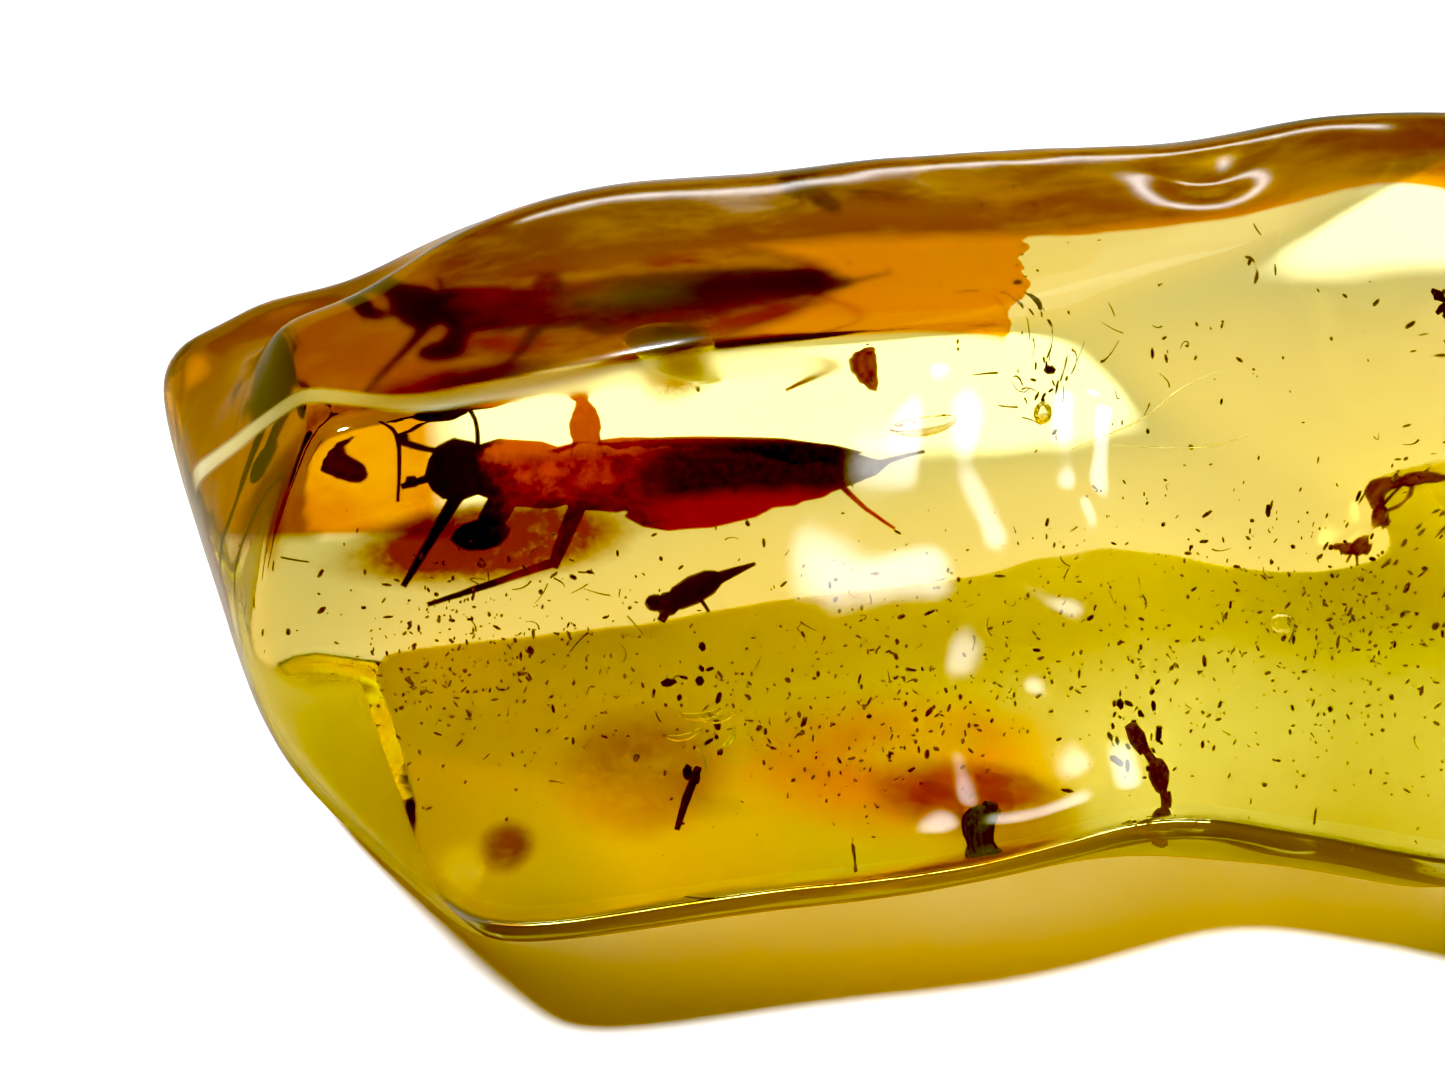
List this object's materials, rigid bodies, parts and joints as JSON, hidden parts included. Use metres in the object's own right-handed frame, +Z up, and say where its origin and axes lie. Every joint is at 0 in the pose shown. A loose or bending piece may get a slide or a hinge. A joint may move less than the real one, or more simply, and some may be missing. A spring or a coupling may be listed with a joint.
{
  "type": "insects in copal",
  "caption": "Polished, faceted nugget of honey-yellow copal lying on a ground flat, parted at a flow layer round a sealed cricket, small flies, a beetle and plant scraps.",
  "frame": {"origin": "on the ground flat under the middle of the nugget's bounding box", "axes": "+X along the nugget's length towards the end opposite the tapered nose, -Y towards the broad ground face that shows the insects, +Z up from the flat it rests on"},
  "size_m": [0.0578, 0.0282, 0.0177],
  "materials": {
    "copal": "clear honey-yellow copal resin, polished, slightly orange in its depth",
    "cuticle_dark": "dark maroon-brown insect cuticle, faintly glossy",
    "cuticle_brown": "translucent brown insect cuticle",
    "cuticle_black": "black insect cuticle",
    "plant_brown": "dark brown plant debris, matt",
    "plant_green": "blackish green bark, matt"
  },
  "bodies": {
    "root": {"copal_upper": "copal", "copal_lower": "copal", "cricket": "cuticle_dark", "gnat": "cuticle_brown", "small_beetle": "cuticle_black", "humpbacked_fly": "cuticle_brown", "seed": "plant_brown", "bark_bit": "plant_green", "plant_scrap": "plant_brown", "twig": "plant_brown"}
  },
  "joints": []
}
